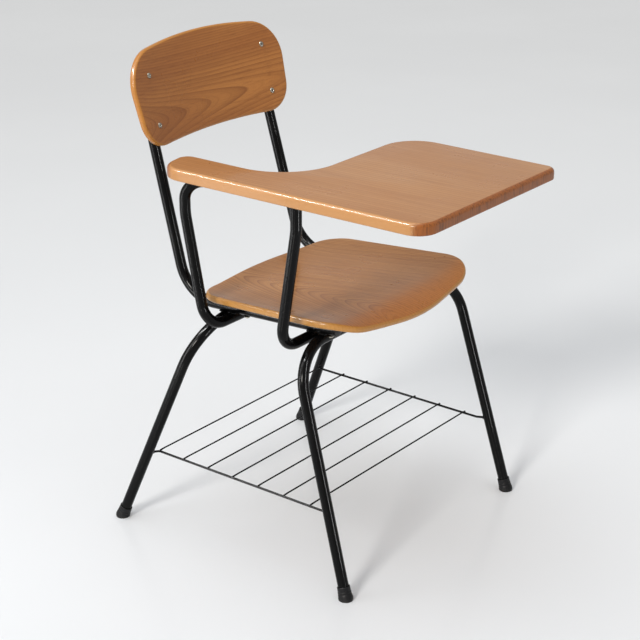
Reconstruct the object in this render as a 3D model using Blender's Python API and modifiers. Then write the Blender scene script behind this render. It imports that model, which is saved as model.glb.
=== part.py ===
"""Student desk chair: a plywood seat and back on a bent-tube frame, with a fixed writing tablet.

Metres, +Z up. The sitter faces -Y, and the sitter's right hand, where the tablet is, is at -X.
The origin is on the floor under the middle of the chair's overall box.
"""

import math

import bmesh
import bpy
from mathutils import Matrix, Vector

GAP = 0.0003                   # clearance left between pieces that touch

# Tube frame
TUBE_R = 0.0095                # 19 mm round steel tube
TUBE_WALL = 0.0012
FACET_SLACK = 1.12             # a faceted tube's wall takes this much more radius at its flats
RAIL_X = 0.161                 # seat rails, each side of the middle
RAIL_Z = 0.4225                # height of a rail's axis at RAIL_REF_Y
RAIL_REF_Y = 0.146
RAIL_SLOPE = -0.052            # the rails rise towards the front
RAIL_FRONT_Y = -0.107
BACK_TOP_Z = 0.807             # top of the back uprights
BACK_FOOT_Y = 0.1087           # the uprights' line, carried down to the floor
BACK_LEAN = 0.2765             # metres back for each metre up
BACK_FLOOR_X = 0.1719          # the uprights draw together upwards
BACK_DRAW_IN = 0.0228
BACK_BEND_R = 0.075

# Legs: each pair is one tube bent to an upside-down U
FRONT_FOOT = (0.2520, -0.1950)
FRONT_SPLAY = (-0.0460, 0.2902)      # metres in x and y for each metre up
REAR_FOOT = (0.2662, 0.3080)
REAR_SPLAY = (-0.0982, -0.4107)
FRONT_BEND_R = 0.078
REAR_BEND_R = 0.098
LEG_END = 0.0065               # a leg tube stops this far along its axis, inside its tip

# Foot tips
TIP_R_FLOOR = 0.0128
TIP_R_TOP = 0.0112
TIP_LENGTH = 0.024

# Plugs in the open ends of the tubes
PLUG_RIM_R = 0.0092
PLUG_DOME = 0.0032
PLUG_STEM = 0.0065

# Tablet, and the two posts and plates that carry it
TABLET_TOP_Z = 0.694
TABLET_THICK = 0.020
TABLET_EDGE_R = 0.0072         # round along the top arris
TABLET_UNDER_R = 0.0028        # round along the lower arris
FRONT_POST = (-0.244, -0.0500, -0.0857, 0.628)       # x, y low down, y and z at the knee
REAR_POST = (-0.230, 0.1226, 0.1628, 0.605)          # above its knee a post stands upright
FRONT_RUN = (0.0, 0.0)         # the front post ends upright under its plate
REAR_RUN = (0.020, -0.035)     # the rear post bends over and runs on this far under its plate
POST_END_X = -0.125            # the lower runs end here, past the rail they are welded under
POST_BEND_R = 0.045
POST_KNEE_R = 0.100
POST_TOP_R = 0.032
PLATE_WIDTH = 0.030
PLATE_THICK = 0.003
PLATE_BACK = 0.013             # a plate starts this far behind its post's end
PLATE_AHEAD = 0.071            # and runs this far ahead of it
PLATE_CORNER_R = 0.007
PLATE_SCREWS = (0.026, 0.058)  # screws, measured ahead of the post's end
TABLET_SCREW_BITE = 0.0125     # how far they enter the tablet
TABLET_PLATES = (("front", FRONT_POST, FRONT_RUN, (1, 0)), ("rear", REAR_POST, REAR_RUN, (0, -1)))

# Seat: bent plywood
SEAT_THICK = 0.0115
SEAT_DISH = 0.005              # the middle lies lower than the lines over the rails
WATERFALL_Y = -0.108           # the front edge rolls down from here
WATERFALL_R = 0.110
LIFT_Y = 0.129                 # the rear edge lifts gently from here
LIFT_R = 0.380
SEAT_SCREW_Y = (-0.092, 0.089)

# Back: bent plywood, in a frame that leans with the uprights
BACK_THICK = 0.011
BACK_SWEEP_R = 1.200
RIVET_V = (-0.087, 0.0)        # rivet rows, measured along the uprights
RIVET_ROW_Z = 0.7965           # height of the upper row on the uprights' axes
BOARD_AHEAD = TUBE_R + GAP + BACK_THICK

# Fasteners
RIVET_R = 0.0024
RIVET_HEAD_R = 0.0050
SCREW_R = 0.0021
SCREW_HEAD_R = 0.0045
SCREW_HEAD_H = 0.0028
WASHER_R = 0.0062
WASHER_T = 0.0010
HOLE_SLACK = 0.0004            # a hole's radius over its fastener's

# Book rack
RACK_Z = 0.1405
RACK_RAIL_X = 0.2355
RACK_RAIL_R = 0.0021
RACK_WIRE_R = 0.0014
RACK_WIRES = 7
RACK_FRONT_KNEE_Y = -0.134     # the side wires turn out to the legs here
RACK_REAR_Y = 0.2348           # the rearmost cross wire
RACK_KNEE_R = 0.008
RACK_PITCH = 0.0570
OBLIQUE_CUT = 1.09             # a leaning leg is this much wider where a level wire meets it

WOOD = ("varnished_beech", (0.52, 0.26, 0.10), 0.35, 0.0)
BLACK = ("black_enamel", (0.012, 0.012, 0.013), 0.25, 0.0)
NICKEL = ("bright_nickel", (0.75, 0.73, 0.70), 0.25, 1.0)
RUBBER = ("black_rubber", (0.02, 0.02, 0.02), 0.7, 0.0)
PLASTIC = ("black_plastic", (0.02, 0.02, 0.02), 0.5, 0.0)


def rail_z(y):
    return RAIL_Z + RAIL_SLOPE * (y - RAIL_REF_Y)


def under_rail_z(y):
    """Height of a tube's axis that passes across just under the rails."""
    return rail_z(y) - (2 * TUBE_R + GAP) * math.hypot(1, RAIL_SLOPE)


def back_point(z, side):
    """A point on an upright's axis."""
    return Vector((side * (BACK_FLOOR_X - BACK_DRAW_IN * z), BACK_FOOT_Y + BACK_LEAN * z, z))


def leg_point(foot, splay, z, side):
    """A point on a leg's axis."""
    return Vector((side * (foot[0] + splay[0] * z), foot[1] + splay[1] * z, z))


def collection(name):
    made = bpy.data.collections.new(name)
    bpy.context.scene.collection.children.link(made)
    return made


def material(spec):
    name, colour, roughness, metallic = spec
    found = bpy.data.materials.get(name)
    if found:
        return found
    made = bpy.data.materials.new(name)
    made.use_nodes = True
    shader = made.node_tree.nodes["Principled BSDF"]
    shader.inputs["Base Color"].default_value = (*colour, 1.0)
    shader.inputs["Roughness"].default_value = roughness
    shader.inputs["Metallic"].default_value = metallic
    return made


def add(name, mesh, group, spec=None, smooth=True):
    piece = bpy.data.objects.new(name, mesh)
    group.objects.link(piece)
    if spec:
        mesh.materials.append(material(spec))
    if smooth:
        mesh.shade_smooth()
        mesh.set_sharp_from_angle(angle=math.radians(40))
    return piece


def bend(before, corner, after, radius, steps):
    """Points round the arc that replaces the corner between two straight runs."""
    corner = Vector(corner)
    back = (Vector(before) - corner).normalized()
    ahead = (Vector(after) - corner).normalized()
    half = back.angle(ahead) / 2
    reach = radius / math.tan(half)
    centre = corner + (back + ahead).normalized() * (radius / math.sin(half))
    start = corner + back * reach - centre
    end = corner + ahead * reach - centre
    turn = start.angle(end)
    points = []
    for i in range(steps + 1):
        a = turn * i / steps
        spoke = start * math.sin(turn - a) + end * math.sin(a)
        points.append(centre + spoke / math.sin(turn))
    return points


def rounded_path(corners, radii, steps=8):
    """Points along straight runs whose corners are bent to the given radii."""
    points = [Vector(corners[0])]
    for before, corner, after, radius in zip(corners, corners[1:], corners[2:], radii):
        points += bend(before, corner, after, radius, steps)
    points.append(Vector(corners[-1]))
    return points


def round_bar(name, points, radius, capped=True, sides=4):
    """A bevelled curve along the points, turned into a welded mesh."""
    curve = bpy.data.curves.new(name, "CURVE")
    curve.dimensions = "3D"
    curve.bevel_depth = radius
    curve.bevel_resolution = sides
    curve.use_fill_caps = capped
    spline = curve.splines.new("POLY")
    spline.points.add(len(points) - 1)
    for place, point in zip(spline.points, points):
        place.co = (*point, 1.0)
    return mesh_of_curve(name, curve)


def mesh_of_curve(name, curve):
    holder = bpy.data.objects.new(name + "_curve", curve)
    bpy.context.scene.collection.objects.link(holder)
    shaped = holder.evaluated_get(bpy.context.evaluated_depsgraph_get())
    mesh = bpy.data.meshes.new_from_object(shaped)
    mesh.name = name
    bpy.data.objects.remove(holder)
    bpy.data.curves.remove(curve)
    welded = bmesh.new()
    welded.from_mesh(mesh)
    bmesh.ops.remove_doubles(welded, verts=welded.verts, dist=0.00001)
    welded.to_mesh(mesh)
    welded.free()
    return mesh


def tube(name, corners, radii):
    """A bent steel tube, open at both ends."""
    mesh = round_bar(name, rounded_path(corners, radii), TUBE_R, capped=False)
    piece = add(name, mesh, parts, BLACK)
    wall = piece.modifiers.new("wall", "SOLIDIFY")
    wall.thickness = TUBE_WALL
    wall.offset = -1.0
    return piece


def turned(name, profile, place, axis, spec, steps=16):
    """A round piece, turned from (radius, height) points listed from the top down its outer side."""
    mesh = bpy.data.meshes.new(name)
    points = [(r, 0.0, h) for r, h in profile]
    mesh.from_pydata(points, [(i, i + 1) for i in range(len(points) - 1)], [])
    piece = add(name, mesh, parts, spec, smooth=False)
    screw = piece.modifiers.new("turn", "SCREW")
    screw.steps = steps
    screw.render_steps = steps
    screw.use_merge_vertices = True
    screw.merge_threshold = 0.00001
    screw.use_smooth_shade = True
    piece.location = place
    piece.rotation_mode = "QUATERNION"
    piece.rotation_quaternion = Vector((0, 0, 1)).rotation_difference(Vector(axis))
    return piece


def outline_points(corners, steps=8):
    """A closed outline with rounded corners, each corner given as (x, y, radius)."""
    points = []
    count = len(corners)
    for i, (x, y, radius) in enumerate(corners):
        before = corners[i - 1][:2]
        after = corners[(i + 1) % count][:2]
        points += bend(before, (x, y), after, radius, steps)
    return points


def flat_slab(name, points, thickness):
    """A flat outline given half its thickness each way."""
    curve = bpy.data.curves.new(name, "CURVE")
    curve.dimensions = "2D"
    curve.fill_mode = "BOTH"
    curve.extrude = thickness / 2
    spline = curve.splines.new("POLY")
    spline.use_cyclic_u = True
    spline.points.add(len(points) - 1)
    for place, point in zip(spline.points, points):
        place.co = (point[0], point[1], 0.0, 1.0)
    return mesh_of_curve(name, curve)


def cutter(name, mesh, place=Matrix()):
    tool = add(name, mesh, cutters, smooth=False)
    tool.matrix_world = place
    tool.hide_render = True
    tool.display_type = "WIRE"
    return tool


def boolean(piece, tool, operation="DIFFERENCE"):
    cut = piece.modifiers.new(tool.name, "BOOLEAN")
    cut.operation = operation
    cut.object = tool


def drill(piece, name, start, end, radius):
    """A round hole from start to end."""
    mesh = round_bar(name, [Vector(start), Vector(end)], radius, sides=3)
    boolean(piece, cutter(name, mesh))


def bent_sheet(name, width, depth, cells, shape, thickness):
    """A grid of width by depth whose points are moved by shape(x, y), and thickened below."""
    mesh = bpy.data.meshes.new(name)
    sheet = bmesh.new()
    bmesh.ops.create_grid(sheet, x_segments=cells[0], y_segments=cells[1], size=0.5)
    for corner in sheet.verts:
        corner.co = shape(corner.co.x * width, corner.co.y * depth)
    sheet.to_mesh(mesh)
    sheet.free()
    piece = add(name, mesh, parts, WOOD)
    ply = piece.modifiers.new("ply", "SOLIDIFY")
    ply.thickness = thickness
    ply.offset = -1.0
    return piece


# --- frame -----------------------------------------------------------------------------------

def back_corner(side):
    """Where an upright's line meets its rail's line."""
    rise = RAIL_Z + RAIL_SLOPE * (BACK_FOOT_Y - RAIL_REF_Y)
    z = rise / (1 - RAIL_SLOPE * BACK_LEAN)
    return Vector((side * RAIL_X, BACK_FOOT_Y + BACK_LEAN * z, z))


def back_tube(name, side):
    """An upright and a seat rail, bent from one tube."""
    front = (side * RAIL_X, RAIL_FRONT_Y, rail_z(RAIL_FRONT_Y))
    top = back_point(BACK_TOP_Z, side)
    piece = tube(name, [front, back_corner(side), top], [BACK_BEND_R])
    for y in SEAT_SCREW_Y:
        low = (side * RAIL_X, y, rail_z(y) - 0.02)
        high = (side * RAIL_X, y, rail_z(y) + 0.02)
        drill(piece, f"{name}_screw_hole_{y:+.3f}", low, high, SCREW_R + HOLE_SLACK)
    for v in RIVET_V:
        place = rivet_place(side, v)
        reach = rivet_axis(side, v)[0] * 0.04
        drill(piece, f"{name}_rivet_hole_{v:+.3f}", place - reach, place + reach, RIVET_R + HOLE_SLACK)
    return piece


def crossbar_z(foot, splay):
    """Height at which a leg pair's crossbar passes just under the rails."""
    return under_rail_z(foot[1]) / (1 - RAIL_SLOPE * splay[1])


def leg_start(foot, splay, side):
    """The end of a leg's tube, inside its foot tip."""
    axis = Vector((side * splay[0], splay[1], 1.0)).normalized()
    return leg_point(foot, splay, 0.0, side) + axis * LEG_END


def leg_frame(name, foot, splay, bend_r):
    """Two legs and the crossbar between them, bent from one tube."""
    z = crossbar_z(foot, splay)
    corners = [leg_start(foot, splay, -1), leg_point(foot, splay, z, -1),
               leg_point(foot, splay, z, 1), leg_start(foot, splay, 1)]
    return tube(name, corners, [bend_r, bend_r])


def tablet_post(name, post, run):
    """A post that carries the tablet; its lower run is welded under the right rail."""
    x, low_y, top_y, knee_z = post
    low = under_rail_z(low_y)
    top = TABLET_TOP_Z - TABLET_THICK - PLATE_THICK - 2 * GAP
    corners = [(POST_END_X, low_y, low), (x, low_y, low), (x, top_y, knee_z)]
    radii = [POST_BEND_R, POST_KNEE_R]
    if any(run):
        corners += [(x, top_y, top - TUBE_R), (x + run[0], top_y + run[1], top - TUBE_R)]
        radii.append(POST_TOP_R)
    else:
        corners.append((x, top_y, top))
    return tube(name, corners, radii)


def plate_point(post, run, ahead, toward):
    """A point ahead of a post's end on the tablet's underside, towards the plate's far end."""
    x = post[0] + run[0] + toward[0] * ahead
    y = post[2] + run[1] + toward[1] * ahead
    return Vector((x, y, TABLET_TOP_Z - TABLET_THICK))


def tablet_plate(name, post, run, toward):
    """The flat plate on top of a post, screwed up into the tablet."""
    half = PLATE_WIDTH / 2
    corners = [(-PLATE_BACK, -half), (PLATE_AHEAD, -half), (PLATE_AHEAD, half), (-PLATE_BACK, half)]
    rounded = [(x, y, PLATE_CORNER_R) for x, y in corners]
    piece = add(name, flat_slab(name, outline_points(rounded, 3), PLATE_THICK), parts, BLACK)
    piece.location = plate_point(post, run, 0.0, toward) - Vector((0, 0, GAP + PLATE_THICK / 2))
    piece.rotation_euler.z = math.atan2(toward[1], toward[0])
    drill_plate_holes(piece, post, run, toward, PLATE_THICK + 0.002)
    return piece


def drill_plate_holes(piece, post, run, toward, depth):
    """Screw holes where the plate meets the tablet, depth each way from the tablet's underside."""
    reach = Vector((0, 0, depth))
    for ahead in PLATE_SCREWS:
        place = plate_point(post, run, ahead, toward)
        name = f"{piece.name}_hole_{place.x:+.3f}_{place.y:+.3f}"
        drill(piece, name, place - reach, place + reach, SCREW_R + HOLE_SLACK)


def end_plug(name, end, axis):
    """A domed plastic plug with a stem, pushed into a tube's end."""
    stem = TUBE_R - TUBE_WALL * FACET_SLACK - GAP * 2
    rim = PLUG_RIM_R
    profile = [(0, PLUG_DOME), (rim * 0.5, PLUG_DOME * 0.88), (rim * 0.85, PLUG_DOME * 0.56),
               (rim, PLUG_DOME * 0.2), (rim, GAP), (stem, GAP), (stem, 0.002 - PLUG_STEM),
               (stem - 0.001, -PLUG_STEM), (0, -PLUG_STEM)]
    return turned(name, profile, end, axis, PLASTIC, steps=12)


def foot_tip(name, foot, splay, side):
    """A rubber tip on a leg's end, with a floor and a socket, cut level with the floor."""
    axis = Vector((side * splay[0], splay[1], 1.0)).normalized()
    socket_r = TUBE_R + GAP
    floor = LEG_END - GAP
    profile = [(socket_r, TIP_LENGTH), (TIP_R_TOP - 0.0006, TIP_LENGTH),
               (TIP_R_TOP, TIP_LENGTH - 0.001), (TIP_R_FLOOR, 0.0045), (TIP_R_FLOOR, 0.0010),
               (TIP_R_FLOOR - 0.002, -0.0035), (0, -0.0045), (0, floor), (socket_r, floor)]
    piece = turned(name, profile + profile[:1], leg_point(foot, splay, 0.0, side), axis, RUBBER)
    base = bmesh.new()
    bmesh.ops.create_cube(base, size=0.1)
    mesh = bpy.data.meshes.new(name + "_floor")
    base.to_mesh(mesh)
    base.free()
    under = Matrix.Translation((side * foot[0], foot[1], -0.05))
    boolean(piece, cutter(name + "_floor", mesh, under))
    return piece


# --- rack ------------------------------------------------------------------------------------

def rack_rail(name, side):
    """A side wire of the book rack, its ends turned out to the legs."""
    ends = []
    for foot, splay, near_y in ((FRONT_FOOT, FRONT_SPLAY, RACK_FRONT_KNEE_Y),
                                (REAR_FOOT, REAR_SPLAY, RACK_REAR_Y + 0.003)):
        knee = Vector((side * RACK_RAIL_X, near_y, RACK_Z))
        leg = leg_point(foot, splay, RACK_Z, side)
        reach = (leg - knee).normalized() * (TUBE_R * OBLIQUE_CUT + GAP)
        ends.append((leg - reach, knee))
    corners = [ends[0][0], ends[0][1], ends[1][1], ends[1][0]]
    points = rounded_path(corners, [RACK_KNEE_R, RACK_KNEE_R], steps=3)
    return add(name, round_bar(name, points, RACK_RAIL_R, sides=2), parts, BLACK)


def rack_wire(name, y):
    """A cross wire, laid on the side wires."""
    z = RACK_Z + RACK_RAIL_R + GAP + RACK_WIRE_R
    half = RACK_RAIL_X + RACK_RAIL_R * 0.4
    points = [Vector((-half, y, z)), Vector((half, y, z))]
    return add(name, round_bar(name, points, RACK_WIRE_R, sides=2), parts, BLACK)


# --- wood ------------------------------------------------------------------------------------

def seat_shape(x, y):
    """Height of the seat's top face: dished across, and rolled down at the front."""
    level = rail_z(y) + TUBE_R * math.hypot(1, RAIL_SLOPE) + GAP + SEAT_THICK
    dish = SEAT_DISH * ((x / RAIL_X) ** 4 - 1)
    past = min(max(0.0, WATERFALL_Y - y), 0.95 * WATERFALL_R)
    roll = WATERFALL_R - math.sqrt(WATERFALL_R ** 2 - past ** 2)
    lift = max(0.0, y - LIFT_Y) ** 2 / (2 * LIFT_R)
    return Vector((x, y, level + dish - roll + lift))


def seat_panel(name):
    piece = bent_sheet(name, 0.44, 0.42, (22, 36), seat_shape, SEAT_THICK)
    corners = [(0.2075, -0.144, 0.076), (0.192, 0.177, 0.060)]
    mirrored = [(-x, y, r) for x, y, r in reversed(corners)]
    rear = [(0.0, 0.204, 0.700)]
    front = [(0.0, -0.174, 0.420)]
    points = outline_points(corners + rear + mirrored + front, steps=7)
    mesh = flat_slab(name + "_outline", points, 0.20)
    boolean(piece, cutter(name + "_outline", mesh, Matrix.Translation((0, 0, 0.44))), "INTERSECT")
    for y in SEAT_SCREW_Y:
        for side in (-1, 1):
            low = (side * RAIL_X, y, rail_z(y))
            high = (side * RAIL_X, y, rail_z(y) + TUBE_R + 0.009)
            drill(piece, f"{name}_hole_{side:+d}_{y:+.3f}", low, high, SCREW_R + HOLE_SLACK)
    return piece


def back_normal():
    """Forwards, square to the plane of the uprights."""
    return Vector((0, -1, BACK_LEAN)).normalized()


def back_up():
    return Vector((0, BACK_LEAN, 1)).normalized()


def rivet_place(side, v):
    """A rivet's place on the upright's axis, v along the upright from the upper row."""
    return back_point(RIVET_ROW_Z + v * back_up().z, side)


def sweep(x):
    """How far the board's front face bends forwards at x, from its middle."""
    return x ** 2 / (2 * BACK_SWEEP_R)


def board_middle():
    """How far the middle of the board's front face stands ahead of the uprights' axes."""
    slope = rivet_place(1, 0.0).x / (BACK_SWEEP_R + BOARD_AHEAD)
    foot_x = slope * BACK_SWEEP_R
    return BOARD_AHEAD / math.hypot(1, slope) - sweep(foot_x)


def rivet_axis(side, v):
    """The way a rivet points, square to the board, and the distance to the board's front face."""
    axis_x = rivet_place(1, v).x
    foot_x = axis_x
    for _ in range(4):
        ahead = board_middle() + sweep(foot_x)
        foot_x = axis_x / (1 + ahead / BACK_SWEEP_R)
    run = Vector((side * (foot_x - axis_x), 0, 0)) + back_normal() * ahead
    return run.normalized(), run.length


def board_frame():
    """The board's own frame: x across, y up the board, z forwards from the uprights' axes."""
    origin = rivet_place(1, 0.0)
    origin.x = 0.0
    rotation = Matrix((Vector((1, 0, 0)), back_up(), back_normal())).transposed().to_4x4()
    return Matrix.Translation(origin) @ rotation


def back_shape(x, y):
    return Vector((x, y, board_middle() + sweep(x)))


def back_panel(name):
    piece = bent_sheet(name, 0.42, 0.30, (24, 2), back_shape, BACK_THICK)
    piece.matrix_world = board_frame()
    corners = [(0.190, -0.127, 0.050), (0.204, 0.037, 0.072), (0.0, 0.065, 0.850)]
    mirrored = [(-x, y, r) for x, y, r in reversed(corners[:2])]
    points = outline_points(corners + mirrored + [(0.0, -0.1125, 1.600)], steps=7)
    mesh = flat_slab(name + "_outline", points, 0.20)
    boolean(piece, cutter(name + "_outline", mesh, board_frame()), "INTERSECT")
    for v in RIVET_V:
        for side in (-1, 1):
            place = rivet_place(side, v)
            ahead = place + rivet_axis(side, v)[0] * 0.04
            drill(piece, f"{name}_hole_{side:+d}_{v:+.3f}", place, ahead, RIVET_R + HOLE_SLACK)
    return piece


def round_arrises(mesh):
    """Marks the slab's upper and lower arrises for the bevel that rounds them."""
    slab = bmesh.new()
    slab.from_mesh(mesh)
    bmesh.ops.dissolve_limit(slab, angle_limit=0.01, verts=slab.verts, edges=slab.edges)
    weight = slab.edges.layers.float.new("bevel_weight_edge")
    for edge in slab.edges:
        level = edge.verts[0].co.z + edge.verts[1].co.z
        if abs(level) > TABLET_THICK / 2:
            edge[weight] = 1.0 if level > 0 else TABLET_UNDER_R / TABLET_EDGE_R
    slab.to_mesh(mesh)
    slab.free()


def tablet(name):
    corners = [(-0.263, -0.343, 0.036), (0.126, -0.343, 0.018), (0.126, -0.038, 0.068),
               (-0.190, -0.038, 0.100), (-0.193, 0.195, 0.022), (-0.272, 0.180, 0.044)]
    mesh = flat_slab(name, outline_points(corners), TABLET_THICK)
    round_arrises(mesh)
    piece = add(name, mesh, parts, WOOD)
    arris = piece.modifiers.new("arrises", "BEVEL")
    arris.width = TABLET_EDGE_R
    arris.segments = 3
    arris.limit_method = "WEIGHT"
    piece.location = (0, 0, TABLET_TOP_Z - TABLET_THICK / 2)
    for _, post, run, toward in TABLET_PLATES:
        drill_plate_holes(piece, post, run, toward, TABLET_SCREW_BITE + 0.001)
    return piece


# --- fasteners -------------------------------------------------------------------------------

def screw(name, seat, length):
    """A pan-head screw pointing up, its head's top face at seat."""
    profile = [(0, length), (SCREW_R * 0.6, length), (SCREW_R, length - 0.002), (SCREW_R, 0.0),
               (SCREW_HEAD_R, 0.0), (SCREW_HEAD_R, -0.0012), (SCREW_HEAD_R * 0.8, -0.0023),
               (SCREW_HEAD_R * 0.4, -SCREW_HEAD_H), (0, -SCREW_HEAD_H)]
    return turned(name, profile, seat, (0, 0, 1), NICKEL, steps=12)


def washer(name, place):
    inner = SCREW_R + HOLE_SLACK
    profile = [(inner, WASHER_T), (WASHER_R, WASHER_T), (WASHER_R, 0.0), (inner, 0.0)]
    return turned(name, profile + profile[:1], place, (0, 0, 1), NICKEL, steps=12)


def back_rivet(name, side, v):
    """A rivet through the board and the upright: a domed head in front, a formed tail behind."""
    axis, ahead = rivet_axis(side, v)
    ahead += GAP
    tail = -(TUBE_R + GAP)
    head = [(0, 0.0022), (0.0022, 0.0018), (0.0040, 0.0009), (RIVET_HEAD_R, 0.0)]
    profile = [(r, ahead + h) for r, h in head]
    profile += [(RIVET_R, ahead), (RIVET_R, tail), (0.0040, tail), (0.0034, tail - 0.0016),
                (0, tail - 0.0020)]
    return turned(name, profile, rivet_place(side, v), axis, NICKEL, steps=12)


# --- build -----------------------------------------------------------------------------------

def build():
    for name, side in (("left_back_tube", 1), ("right_back_tube", -1)):
        back_tube(name, side)
    leg_frame("front_leg_frame", FRONT_FOOT, FRONT_SPLAY, FRONT_BEND_R)
    leg_frame("rear_leg_frame", REAR_FOOT, REAR_SPLAY, REAR_BEND_R)
    for place, post, run, toward in TABLET_PLATES:
        tablet_post(f"{place}_tablet_post", post, run)
        tablet_plate(f"{place}_tablet_plate", post, run, toward)

    for word, side in (("left", 1), ("right", -1)):
        end_plug(f"{word}_upright_plug", back_point(BACK_TOP_Z, side), back_up())
        front = Vector((side * RAIL_X, RAIL_FRONT_Y, rail_z(RAIL_FRONT_Y)))
        end_plug(f"{word}_rail_plug", front, (0, -1, -RAIL_SLOPE))
        foot_tip(f"front_{word}_foot_tip", FRONT_FOOT, FRONT_SPLAY, side)
        foot_tip(f"rear_{word}_foot_tip", REAR_FOOT, REAR_SPLAY, side)
        rack_rail(f"rack_{word}_rail", side)
        for row, v in zip(("lower", "upper"), RIVET_V):
            back_rivet(f"{row}_{word}_back_rivet", side, v)
        for row, y in zip(("front", "rear"), SEAT_SCREW_Y):
            under = rail_z(y) - TUBE_R * math.hypot(1, RAIL_SLOPE) - GAP - WASHER_T - 0.0004
            washer(f"{row}_{word}_seat_washer", (side * RAIL_X, y, under))
            start = (side * RAIL_X, y, under - GAP)
            length = rail_z(y) + TUBE_R + 0.0075 - start[2]
            screw(f"{row}_{word}_seat_screw", start, length)

    for i in range(RACK_WIRES):
        rack_wire(f"rack_wire_{i + 1}", RACK_REAR_Y - RACK_PITCH * i)

    seat_panel("seat_panel")
    back_panel("back_panel")
    tablet("tablet_top")

    under_plate = PLATE_THICK + 2 * GAP
    for row, post, run, toward in TABLET_PLATES:
        for word, ahead in zip(("near", "far"), PLATE_SCREWS):
            start = plate_point(post, run, ahead, toward) - Vector((0, 0, under_plate))
            screw(f"{row}_{word}_tablet_screw", start, under_plate + TABLET_SCREW_BITE)


for old in list(bpy.data.objects):
    bpy.data.objects.remove(old)
parts = collection("student_desk_chair")
cutters = collection("cutters")
build()
bpy.context.view_layer.update()
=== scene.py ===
"""The looks of the student desk chair: fine tubes, rounded plywood, fasteners, welds and materials.

Metres, +Z up, in the frame of the CAD model. The sitter faces -Y and the tablet is at -X.
"""

import math

import bmesh
import bpy
from mathutils import Matrix, Vector


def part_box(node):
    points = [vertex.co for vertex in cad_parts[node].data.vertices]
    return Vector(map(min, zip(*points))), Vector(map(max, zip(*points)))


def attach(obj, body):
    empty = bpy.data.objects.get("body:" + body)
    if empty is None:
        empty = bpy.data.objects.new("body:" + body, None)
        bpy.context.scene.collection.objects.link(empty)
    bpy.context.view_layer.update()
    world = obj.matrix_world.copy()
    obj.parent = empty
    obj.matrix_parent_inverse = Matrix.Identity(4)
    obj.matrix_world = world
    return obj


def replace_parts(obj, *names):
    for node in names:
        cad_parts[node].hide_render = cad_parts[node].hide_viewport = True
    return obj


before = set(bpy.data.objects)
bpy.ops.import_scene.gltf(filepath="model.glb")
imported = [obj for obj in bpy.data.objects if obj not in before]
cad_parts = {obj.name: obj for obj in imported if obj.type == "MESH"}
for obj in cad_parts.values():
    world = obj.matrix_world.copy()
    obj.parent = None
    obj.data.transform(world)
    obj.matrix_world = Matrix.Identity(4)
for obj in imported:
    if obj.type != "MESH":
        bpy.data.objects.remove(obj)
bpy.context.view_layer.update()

# Tube frame, as in the CAD model
TUBE_R = 0.0095
TUBE_WALL = 0.0012
GAP = 0.0003
RAIL_X = 0.161
RAIL_Z = 0.4225
RAIL_REF_Y = 0.146
RAIL_SLOPE = -0.052
RAIL_FRONT_Y = -0.107
BACK_TOP_Z = 0.807
BACK_FOOT_Y = 0.1087
BACK_LEAN = 0.2765
BACK_FLOOR_X = 0.1719
BACK_DRAW_IN = 0.0228
BACK_BEND_R = 0.075
FRONT_FOOT = (0.2520, -0.1950)
FRONT_SPLAY = (-0.0460, 0.2902)
REAR_FOOT = (0.2662, 0.3080)
REAR_SPLAY = (-0.0982, -0.4107)
FRONT_BEND_R = 0.078
REAR_BEND_R = 0.098
LEG_END = 0.0065

# Tablet, posts and plates
TABLET_TOP_Z = 0.694
TABLET_THICK = 0.020
TABLET_EDGE_R = 0.0072
TABLET_UNDER_R = 0.0028
FRONT_POST = (-0.244, -0.0500, -0.0857, 0.628)
REAR_POST = (-0.230, 0.1226, 0.1628, 0.605)
FRONT_RUN = (0.0, 0.0)
REAR_RUN = (0.020, -0.035)
POST_END_X = -0.125
POST_BEND_R = 0.045
POST_KNEE_R = 0.100
POST_TOP_R = 0.032
PLATE_THICK = 0.003

# Seat and back
SEAT_THICK = 0.0115
SEAT_DISH = 0.005
WATERFALL_Y = -0.108
WATERFALL_R = 0.110
LIFT_Y = 0.129
LIFT_R = 0.380
BACK_THICK = 0.011
BACK_SWEEP_R = 1.200
RIVET_V = (-0.087, 0.0)
RIVET_ROW_Z = 0.7965
BOARD_AHEAD = TUBE_R + GAP + BACK_THICK

# Rack
RACK_Z = 0.1405
RACK_RAIL_X = 0.2355
RACK_RAIL_R = 0.0021
RACK_WIRE_R = 0.0014
RACK_WIRES = 7
RACK_FRONT_KNEE_Y = -0.134
RACK_REAR_Y = 0.2348
RACK_PITCH = 0.0570

# Fineness of the visual meshes
TUBE_SIDES = 36
WIRE_SIDES = 14
BEND_STEPS = 22

# Upright strip lights
STRIP_LONG = 1.9
STRIP_MIDDLE_Z = 0.97

Z_AXIS = Vector((0, 0, 1))

enamelled = bpy.data.collections.new("enamelled")      # what the two gloss strips light


# --- small helpers -----------------------------------------------------------------------------

def srgb(red, green, blue):
    """A linear colour from 0 to 255 display values."""
    linear = []
    for value in (red, green, blue):
        v = value / 255
        linear.append(v / 12.92 if v <= 0.04045 else ((v + 0.055) / 1.055) ** 2.4)
    return (*linear, 1.0)


def add(name, mesh, slot, *materials, smooth=35):
    """Makes a piece that rides on the chair's one body, with its materials; a slot ending in enamel
    puts it among the enamelled pieces.
    """
    piece = bpy.data.objects.new(name, mesh)
    bpy.context.scene.collection.objects.link(piece)
    for entry in materials:
        mesh.materials.append(entry)
    mesh.shade_smooth()
    mesh.set_sharp_from_angle(angle=math.radians(smooth))
    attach(piece, "root")
    if slot.endswith("enamel"):
        enamelled.objects.link(piece)
    return piece


def closed_mesh(name, bm):
    """A mesh from bm, its faces turned outwards."""
    bmesh.ops.recalc_face_normals(bm, faces=bm.faces)
    mesh = bpy.data.meshes.new(name)
    bm.to_mesh(mesh)
    bm.free()
    return mesh


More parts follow.
